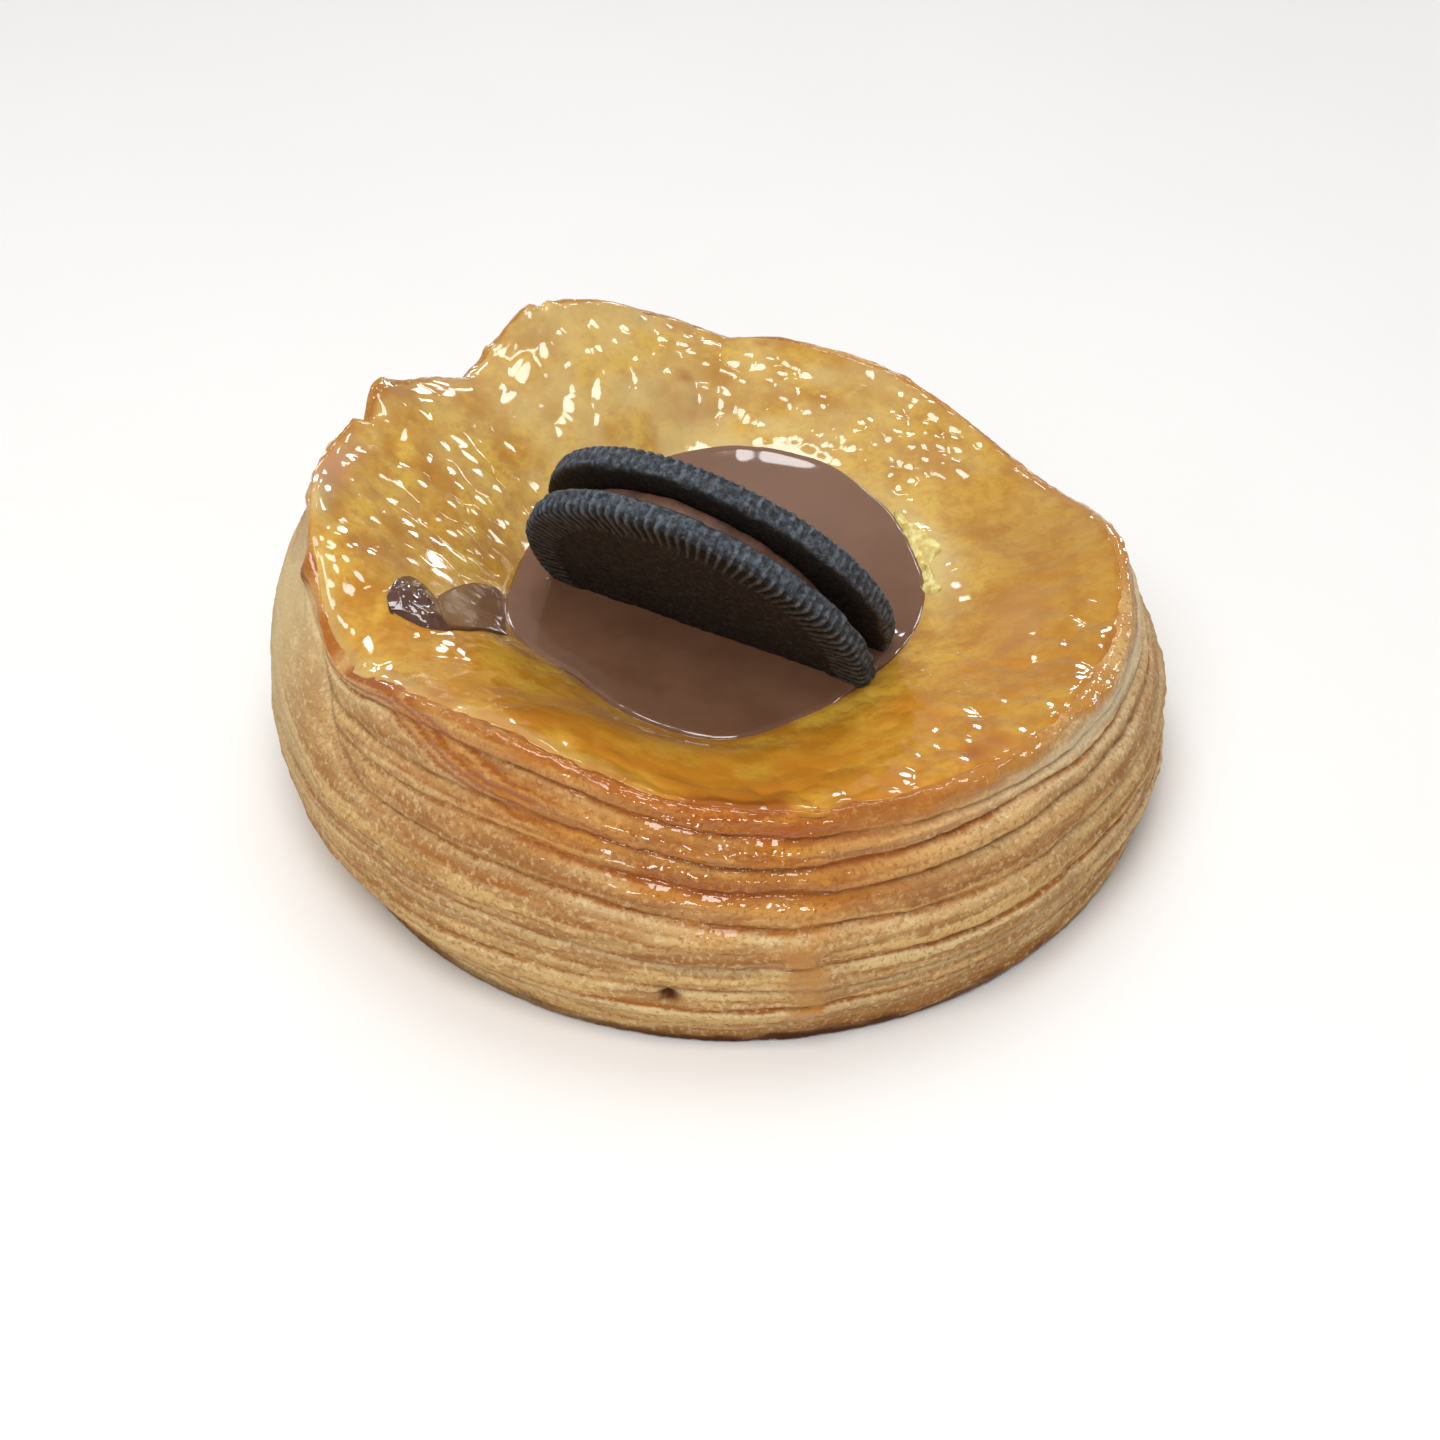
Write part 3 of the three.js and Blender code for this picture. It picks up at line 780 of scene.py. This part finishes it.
def skin_underside(ring, edge):
    """Rings of the skin's lower side, from the cream outwards."""
    rings = []
    for share in UNDERSIDE_SHARES:
        under = mix(*UNDERSIDE_DEPTHS, smooth(0.75, 0.95, share))
        rings.append(top_point(ring, mix(SKIN_START, edge - EDGE_ROUND, share)) - np.array([0, 0, under]))
    rings.append(top_point(ring, edge + EDGE_ROUND) - np.array([0, 0, EDGE_DEPTH]))
    return rings


def skin_masks(theta, share, from_edge, blob):
    """Where the skin is browned, pale, rosy, orange and glossy, where painted shade darkens it to amber,
    and where it is paler at the back with painted sheen.
    """
    sheet = polar(theta, SHEET_RADIUS, share * SKIN_REACH)
    cloudy = noise(sheet, 4, 87)
    mottled = np.clip(0.25 + 0.7 * cloudy + 0.6 * noise(sheet, 2.2, 86), 0, 1)
    spots = mottled * sum(spot(theta, share, place[:2], place[2:]) for place in BAKED_PLACES)
    browned = smooth(0.05, 0.0, from_edge + 0.03 * noise(sheet, 1.6, 88))
    browned = browned * (1 - hump(theta, *UNBROWNED_EDGE))
    front = hump(theta, *BAKED_FRONT) * smooth(0.25, 0.9, share) * smooth(-0.1, 0.5, cloudy)
    pale_edge = hump(theta, *PALE_LEFT_EDGE) + 0.8 * hump(theta, *PALE_FRONT_EDGE)
    pale_edge = pale_edge * smooth(0.11, 0.02, from_edge + 0.04 * cloudy)
    pale_shore = spot(theta, share, *PALE_SHORE)
    # Paler towards the back: a paler glaze with painted sheen on it
    pale_sheen_back = hump(theta, *PALE_SHEEN_BACK) * (0.7 + 0.6 * cloudy)
    rosy_blob = spot(theta, share, *ROSY_BLOB)
    rosy_right = spot(theta, share, *ROSY_RIGHT)
    return {
        "bake": spots + 0.4 * browned + 0.4 * front,
        "pale_and_painted_light": np.maximum(0.45 * pale_edge, 0.85 * blob) + 0.8 * pale_shore + 0.6 * pale_sheen_back,
        "rose": 1.3 * rosy_blob + 0.35 * rosy_right,
        # Painted shade darkening the right towards amber
        "amber_shade": 0.5 * hump(theta, *AMBER_SHADE_RIGHT) * smooth(0.15, 0.5, share),
        "orange": hump(theta, *ORANGE_FRONT) * smooth(-0.15, 0.5, share) * (0.6 + 0.4 * cloudy),
        "gloss": mix(0.6, 1, smooth(0.01, 0.06, from_edge)),
    }


def build_skin(material):
    """The glazed skin, as a closed sheet over the dished top."""
    ring = columns_round(SKIN_COLUMNS)
    edge = skin_edge(ring)
    lower = skin_underside(ring, edge)
    rows = np.linspace(1, 0, SKIN_ROWS)[:, None]
    theta = ring[None, :] + 0 * rows
    share = mix(SKIN_START, edge[None, :], rows)
    from_edge = edge[None, :] - share
    blob = spot(theta, share, *SKIN_BLOB)
    shore = smooth(0.12, 0.0, share) * (1 - hump(theta, *POOL_CLIMB))
    upper = top_point(theta, share)
    upper[..., 2] += skin_relief(theta, share) + BLOB_HEIGHT * blob + SHORE_RISE * shore
    upper[..., 2] -= EDGE_DROP * smooth(0.04, 0.0, from_edge)
    rings = np.concatenate([np.array(lower), upper])
    faces = ring_faces(len(rings), SKIN_COLUMNS, closed=True)
    padded = {}
    for name, values in skin_masks(theta, share, from_edge, blob).items():
        padded[name] = np.pad(np.clip(values, 0, 1).ravel(), (len(lower) * SKIN_COLUMNS, 0), mode="edge")
    add_piece("glazed_skin", rings, faces, padded, material, ["pastry"])


# Chocolate cream

POOL_COLUMNS = 360
POOL_ROWS = 62
POOL_LIP = 0.038
POOL_MIDDLE = 0.02
POOL_TUCK = 0.2
POOL_RIPPLE = 0.05
LIP_ROWS = 9
LIP_START = 0.12
LIP_OVERLAP = 0.1
OUTLINE_ROWS = 3
OUTLINE_DARKNESS = 0.6
WELL_GAP = 0.35
MENISCUS_HEIGHT = 0.55
MENISCUS_REACH = 0.9
# Where the painted reflection lies at the back of the pool, and the middle it grows from
REFLECTION_BACK = (70, 62)
MILKY_FILM = (-152, 34)
REFLECTION_MIDDLE = 4
TONGUE_ROWS = 140
TONGUE_COLUMNS = 72
TONGUE_BLUR = 8
TONGUE_SLANT = 0.0072
TONGUE_LIFT = 0.15
TONGUE_THICKNESS = (0.5, 1.3)
TONGUE_NECK = (0.27, 0.09)
TONGUE_DROP = (0.42, 0.5)
TONGUE_WOBBLE = 0.5
TONGUE_POWER = 0.6
TONGUE_UNDERSIDE = -0.3

# Course of the tongue: share of the way to the rim, angle and half width in degrees
TONGUE_STATIONS = [(-0.12, 189, 10), (0.1, 191.5, 12.8), (0.24, 196, 12.8), (0.33, 199.5, 9.8),
                   (0.45, 204.8, 5.2), (0.53, 201.5, 7.4), (0.6, 201.5, 4.6), (0.69, 202.5, 0.8)]


def biscuit_axes():
    """The biscuit's own right, up and forward directions, as columns."""
    lean = math.radians(90 + BISCUIT_LEAN)
    turn = math.radians(BISCUIT_TURN)
    about_x = np.array([[1, 0, 0],
                        [0, math.cos(lean), -math.sin(lean)],
                        [0, math.sin(lean), math.cos(lean)]])
    about_z = np.array([[math.cos(turn), -math.sin(turn), 0],
                        [math.sin(turn), math.cos(turn), 0],
                        [0, 0, 1]])
    return about_z @ about_x


def distance_to_biscuit(points):
    """How far points lie from the biscuit, 0 inside it."""
    local = (points - BISCUIT_CENTRE) @ biscuit_axes()
    past_edge = np.hypot(local[..., 0], local[..., 1]) - BISCUIT_RADIUS
    past_face = np.abs(local[..., 2]) - CREAM_THICKNESS / 2 - WAFER_THICKNESS
    return np.hypot(np.maximum(past_edge, 0), np.maximum(past_face, 0))


def pool_level(ring, share):
    """Height of the cream, which climbs towards its back edge."""
    return POOL_LEVEL + (shore_height(ring) + POOL_STEP - POOL_LEVEL) * share ** POOL_CLIMB_POWER


def build_pool(material):
    """The cream in the well, with a rounded lip and a small rise round the biscuit."""
    ring = columns_round(POOL_COLUMNS)
    shore = well_point(ring, POOL_RADIUS, 0 * ring)
    reach = pool_radius(ring) + 0.22 * noise(shore, 6, 91) + 0.1 * noise(shore, 1.8, 93)
    lower = []
    for share in WELL_SHARES:
        lower.append(well_point(ring, (reach - WELL_GAP) * share, well_height(ring, share) + WELL_GAP))
    lower.append(well_point(ring, reach, shore_height(ring) - POOL_TUCK))
    turn = np.linspace(LIP_START, 1, LIP_ROWS) * np.pi / 2
    upper = []
    for share, lift in zip(1 - POOL_LIP + POOL_LIP * np.cos(turn), np.sin(turn)):
        level = pool_level(ring, share) - (POOL_STEP + LIP_OVERLAP) * (1 - lift)
        upper.append(well_point(ring, reach * share, level))
    for share in np.linspace(1 - POOL_LIP, POOL_MIDDLE, POOL_ROWS)[1:]:
        upper.append(well_point(ring, reach * share, pool_level(ring, share)))
    upper = np.array(upper)
    meniscus = MENISCUS_HEIGHT * np.exp(-distance_to_biscuit(upper) / MENISCUS_REACH)
    upper[..., 2] += POOL_RIPPLE * noise(upper, 9, 95) + meniscus
    rings = np.concatenate([np.array(lower), upper])
    points, faces = capped_rings(rings, [*POOL_CENTRE, WELL_FLOOR + WELL_GAP], [*POOL_CENTRE, POOL_LEVEL])

    # A painted reflection lightens the cream towards its back; the film along the left is lighter cream
    outward = smooth(0.1, 0.5, np.hypot(upper[..., 0], upper[..., 1] - REFLECTION_MIDDLE) / POOL_RADIUS)
    reflection_at_back = hump(ring, *REFLECTION_BACK)[None, :] * outward
    inward = np.hypot(upper[..., 0] - POOL_CENTRE[0], upper[..., 1] - POOL_CENTRE[1]) / reach
    film = hump(ring, *MILKY_FILM) * smooth(0.86, 0.9, inward + 0.02 * noise(upper, 3, 94))
    before = len(lower) * POOL_COLUMNS
    milky_and_reflection = np.pad(np.maximum(0.75 * reflection_at_back, 0.4 * film).ravel(), (before, 2))
    outline = np.full(OUTLINE_ROWS * POOL_COLUMNS, OUTLINE_DARKNESS)
    dark = np.pad(outline, (before, len(points) - before - len(outline)))
    masks = {"milky_and_reflection": milky_and_reflection, "dark": dark}
    add_piece("cream_pool", points, faces, masks, material, ["chocolate_pool"])


def build_tongue(material):
    """The tongue of cream up the left of the dish, with a drop at its end."""
    along = np.linspace(0, 1, TONGUE_ROWS)
    stations = len(TONGUE_STATIONS)
    place = along * (stations - 1)
    course = [np.interp(place, range(stations), column) for column in zip(*TONGUE_STATIONS)]
    padded = np.pad(course, ((0, 0), (TONGUE_BLUR, TONGUE_BLUR)), mode="edge")
    windows = [padded[:, start:start + TONGUE_ROWS] for start in range(2 * TONGUE_BLUR + 1)]
    share, angle, half = np.mean(windows, axis=0)[:, :, None]
    turn = columns_round(TONGUE_COLUMNS)[None, :]
    across = half * np.cos(turn)
    drop = smooth(*TONGUE_DROP, share) + 0 * turn
    wobble = TONGUE_WOBBLE * drop * np.sin(5 * turn + 4 * along[:, None])
    theta = np.radians(angle + across + wobble)
    spread = share + TONGUE_SLANT * across
    ground = top_point(theta, np.maximum(0, spread)) + polar(theta, np.minimum(0, spread) * SKIN_REACH, 0)
    ground[..., 2] += skin_relief(theta, np.maximum(0, spread))
    rise = np.where(np.sin(turn) > 0, np.abs(np.sin(turn)) ** TONGUE_POWER, TONGUE_UNDERSIDE)
    wrinkle = drop * (0.55 * noise(ground, 2.2, 97) + 0.2 * noise(ground, 0.9, 99))
    ends = np.minimum(np.minimum(1, half / 4), along[:, None] / 0.12 + 0.1)
    ground[..., 2] += TONGUE_LIFT + (mix(*TONGUE_THICKNESS, drop) + wrinkle) * ends * rise
    points, faces = capped_rings(ground, ground[0].mean(0), ground[-1].mean(0))
    neck = bell(spread - TONGUE_NECK[0], TONGUE_NECK[1]) * (rise > 0.5)
    masks = {
        "dark": np.concatenate([0.8 * drop.ravel(), [0, 0.8]]),
        "milky_and_reflection": np.concatenate([0.5 * neck.ravel(), [0, 0]]),
    }
    add_piece("cream_tongue", points, faces, masks, material, ["chocolate_pool"])


# Biscuit

WAFER_COLUMNS = 960
FACE_LEVEL = 2.86
FACE_RADII = (16.6, 0.4)
BORDER_RADII = (20.7, 17.6)
BORDER_START = (17.3, 18.4)
BEVEL_START = (20.8, 21.6)
EDGE_START = (20.9, 21.9)
CHIP_START = (20.3, 21.6)
SHEEN_START = (19.8, 21.2)
RIDGE_DEPTH = 0.36
BORDER_DEPTH = 0.34
CHIP_DEPTH = 0.45
FILLING_RADIUS = 18
FILLING_GAP = 0.1
FILLING_INNER = (8, 14)
SUNK_FILLING = (20, 60)
SUNK_DEPTH = 1.8
FILLING_COLUMNS = 240
FILLING_ROWS = 26


def wafer_profile():
    """Radius and height from the middle of the inner face, round the edge, to the outer face."""
    inner = [(r, 0) for r in (8, 15, 18.5, 19.6, 20.4, 20.9, 21.3)]
    foot = [(21.65, 0.08), (21.9, 0.3)]
    edge = [(BISCUIT_RADIUS, h) for h in np.linspace(0.5, WAFER_THICKNESS - WAFER_BEVEL, 9)]
    bevel = []
    for turn in np.linspace(0, np.pi / 2, 9)[1:]:
        inward = WAFER_BEVEL * (1 - math.cos(turn))
        downward = WAFER_BEVEL * (1 - math.sin(turn))
        bevel.append((BISCUIT_RADIUS - inward, WAFER_THICKNESS - downward))
    border = [(r, WAFER_THICKNESS) for r in np.linspace(*BORDER_RADII, 15)]
    step = [(17.4, 3.04), (17.2, 2.94), (17, 2.88)]
    face = [(r, FACE_LEVEL) for r in np.linspace(*FACE_RADII, 34)]
    return np.array(inner + foot + edge + bevel + border + step + face)


def build_wafer(name, side, material, seed):
    """One wafer, in front of the filling at side 1 and behind it at side -1."""
    profile = wafer_profile()
    phi = columns_round(WAFER_COLUMNS)[None, :]
    radius = profile[:, :1] + 0 * phi
    height = profile[:, 1:] + 0 * phi
    tooth = smooth(-0.2, 0.75, np.cos(WAFER_RIDGES * phi)) + 0 * radius
    flat = polar(phi, radius, height)
    ragged = 0.5 * noise(flat, 1.4, seed + 9)
    border = smooth(*BORDER_START, radius - ragged) * smooth(2.6, 3.05, height)
    bevel = smooth(*BEVEL_START, radius) * smooth(1.9, 2.4, height)
    on_edge = smooth(*EDGE_START, radius)
    grain = 0.1 * noise(flat, 0.8, seed) + 0.06 * noise(flat, 0.42, seed + 2)
    rough = grain + 0.1 * noise(flat, 4, seed + 4)
    chipped = smooth(0.25, 0.6, noise(flat, 2.2, seed + 6))
    chips = chipped * smooth(0.9, 0.2, height) * smooth(*CHIP_START, radius)
    cut = np.maximum(border, np.maximum(bevel, 0.45 * on_edge * smooth(0.3, 0.8, height))) * (1 - tooth)
    radius = radius - on_edge * (RIDGE_DEPTH * cut - rough) - CHIP_DEPTH * chips
    height = height - (1 - on_edge) * (BORDER_DEPTH * cut - rough * smooth(0.3, 1, height))
    inner = CREAM_THICKNESS / 2
    local = polar(phi, radius, inner + np.maximum(height, 0.02))
    if side < 0:
        local = local * np.array([1, -1, -1])
    rings = local @ biscuit_axes().T + BISCUIT_CENTRE
    middles = np.array([[0, 0, side * inner], [0, 0, side * (inner + FACE_LEVEL)]])
    points, faces = capped_rings(rings, *(middles @ biscuit_axes().T + BISCUIT_CENTRE))
    masks = {
        # Painted sheen on the rounded edge
        "edge": smooth(*SHEEN_START, radius) * smooth(0.1, 0.5, height),
        # Painted highlight on the rib tops
        "rib_highlight": 0.6 * border * tooth,
        # Painted shade in the grooves
        "groove": 0.9 * cut,
    }
    padded = {mask: np.pad(values.ravel(), (0, 2)) for mask, values in masks.items()}
    add_piece(name + "_ridged", points, faces, padded, material, [name])


def build_filling(material):
    """The filling between the wafers, sunk on one side."""
    phi = columns_round(FILLING_COLUMNS)[None, :]
    turn = np.linspace(0.02, 0.98, FILLING_ROWS)[:, None] * np.pi
    thick = CREAM_THICKNESS - FILLING_GAP
    uneven = 0.3 * noise(polar(phi, FILLING_RADIUS, 0), 3.5, 111)
    edge = FILLING_RADIUS - SUNK_DEPTH * hump(phi, *SUNK_FILLING) + uneven
    radius = edge - (1 - np.sin(turn)) ** 2
    height = -thick / 2 * np.cos(turn) + 0 * phi
    radius = radius + 0.12 * noise(polar(phi, radius, height), 1.2, 113)
    inner_low = [polar(phi[0], r + 0 * phi[0], -thick / 2) for r in FILLING_INNER]
    inner_high = [polar(phi[0], r + 0 * phi[0], thick / 2) for r in reversed(FILLING_INNER)]
    local = np.concatenate([np.array(inner_low), polar(phi, radius, height), np.array(inner_high)])
    rings = local @ biscuit_axes().T + BISCUIT_CENTRE
    middles = np.array([[0, 0, -thick / 2], [0, 0, thick / 2]]) @ biscuit_axes().T + BISCUIT_CENTRE
    points, faces = capped_rings(rings, *middles)
    add_piece("biscuit_filling", points, faces, {}, material, ["biscuit_cream"])


# Bare crumb

CRUMB_ROWS = 110
CRUMB_COLUMNS = 48
CRUMB_ANGLES = (-1, 35)
CRUMB_SHARE = 0.03
CRUMB_WIDTH = 0.055
CRUMB_LIFT = 0.2
CRUMB_HEIGHT = 0.6


def build_crumb(material):
    """Bare crumb where the skin has torn at the cream's right-hand edge."""
    along = np.linspace(0, 1, CRUMB_ROWS)[:, None]
    turn = columns_round(CRUMB_COLUMNS)[None, :]
    theta = np.radians(mix(*CRUMB_ANGLES, along)) + 0 * turn
    shore = polar(theta, POOL_RADIUS, 0)
    taper = np.sqrt(np.maximum(0.01, 1 - (2 * along - 1) ** 4))
    width = CRUMB_WIDTH * taper * (1 + 0.8 * noise(shore, 2.5, 121))
    share = CRUMB_SHARE + 0.02 * noise(shore, 4, 122) + width * np.cos(turn)
    ground = top_point(theta, np.maximum(share, SKIN_START))
    rise = np.maximum(np.sin(turn), -0.3) + 0 * theta
    lumps = 1 + noise(ground, 1.2, 123) + 0.7 * noise(ground, 0.6, 125)
    ground[..., 2] += CRUMB_LIFT + CRUMB_HEIGHT * rise * lumps * np.where(rise > 0, 1, 0.6)
    points, faces = capped_rings(ground, ground[0].mean(0), ground[-1].mean(0))
    add_piece("bare_crumb", points, faces, {}, material, ["pastry"])


# Stage, light and camera

FLOOR_HALF = 4000
FLOOR_DROP = 0.2
LAMP_AWAY = 650
LAMP_TARGET = (0, 0, 20)
WORLD_STRENGTH = 0.3
CAMERA_LENS = 67.9
CAMERA_SENSOR = 36
CAMERA_ELEVATION = 40.2
CAMERA_AWAY = 336
CAMERA_TARGET = (0, 1.75, 2.08)

# Soft lamps: name, azimuth, elevation, diameter and power
SOFT_LAMPS = [("soft_front", 255, 60, 500, 3.2), ("soft_top", 90, 72, 500, 1.6)]

# Small lamps for the highlights: azimuth, elevation, diameter and radiance
GLINT_LAMPS = [(40, 65, 130, 14), (0, 33, 100, 14), (22, 12, 130, 14), (40, 25, 100, 14),
               (112, 12, 150, 14), (125, 35, 110, 14), (75, 18, 95, 14), (58, 6, 90, 14),
               (70, 32, 70, 14), (280, 74, 220, 14), (200, 75, 220, 14), (170, 62, 130, 14),
               (262, 12, 110, 25), (288, 30, 70, 25)]


def add_floor():
    mesh = bpy.data.meshes.new("floor")
    half = FLOOR_HALF * MM
    corners = [(-half, -half, 0), (half, -half, 0), (half, half, 0), (-half, half, 0)]
    mesh.from_pydata(corners, [], [(0, 1, 2, 3)])
    surface = Surface("pale_floor", Roughness=0.9, Specular_IOR_Level=0.0)
    surface.to("Base Color", surface.blend(surface.noise(60, 2), "#F6F5F3", "#F1F0EE"))
    mesh.materials.append(surface.material)
    floor = bpy.data.objects.new("floor", mesh)
    floor.location.z = -FLOOR_DROP * MM
    bpy.context.collection.objects.link(floor)


def aim(thing, place, target):
    thing.location = Vector(place) * MM
    thing.rotation_euler = (Vector(target) - Vector(place)).to_track_quat("-Z", "Y").to_euler()


def add_lamp(name, azimuth, elevation, size, power, mirrored):
    """An area light, either soft or only for highlights; azimuth 0 is the right and 90 the back."""
    light = bpy.data.lights.new(name, "AREA")
    light.shape = "DISK"
    light.size = size * MM
    light.energy = power
    lamp = bpy.data.objects.new(name, light)
    lamp.visible_camera = False
    lamp.visible_glossy = mirrored
    lamp.visible_diffuse = not mirrored
    turn = math.radians(azimuth)
    rise = math.radians(elevation)
    beside = LAMP_AWAY * math.cos(rise)
    above = LAMP_AWAY * math.sin(rise)
    place = (beside * math.cos(turn), beside * math.sin(turn), above + LAMP_TARGET[2])
    aim(lamp, place, LAMP_TARGET)
    bpy.context.collection.objects.link(lamp)


def add_lights():
    world = bpy.data.worlds.new("studio")
    world.use_nodes = True
    background = world.node_tree.nodes["Background"]
    background.inputs["Color"].default_value = (1, 1, 1, 1)
    background.inputs["Strength"].default_value = WORLD_STRENGTH
    bpy.context.scene.world = world
    for lamp in SOFT_LAMPS:
        add_lamp(*lamp, mirrored=False)
    for number, (azimuth, elevation, size, radiance) in enumerate(GLINT_LAMPS):
        # A disk lamp's power is its radiance times pi times its area
        power = radiance * (math.pi * size / 2 * MM) ** 2
        add_lamp(f"glint_{number}", azimuth, elevation, size, power, mirrored=True)


def add_camera():
    data = bpy.data.cameras.new("camera")
    data.lens = CAMERA_LENS
    data.sensor_width = CAMERA_SENSOR
    camera = bpy.data.objects.new("camera", data)
    rise = math.radians(CAMERA_ELEVATION)
    place = (0, -CAMERA_AWAY * math.cos(rise), CAMERA_AWAY * math.sin(rise))
    aim(camera, place, CAMERA_TARGET)
    bpy.context.collection.objects.link(camera)
    bpy.context.scene.camera = camera


# The whole pastry

build_side(layered_dough())
build_skin(glazed_crust())
cream = chocolate_cream()
build_pool(cream)
build_tongue(cream)
wafer = dark_wafer()
build_wafer("wafer_front", 1, wafer, 131)
build_wafer("wafer_back", -1, wafer, 151)
build_filling(brown_cream())
build_crumb(bare_crumb())
add_floor()
add_lights()
add_camera()
bpy.context.scene.view_settings.view_transform = "Standard"
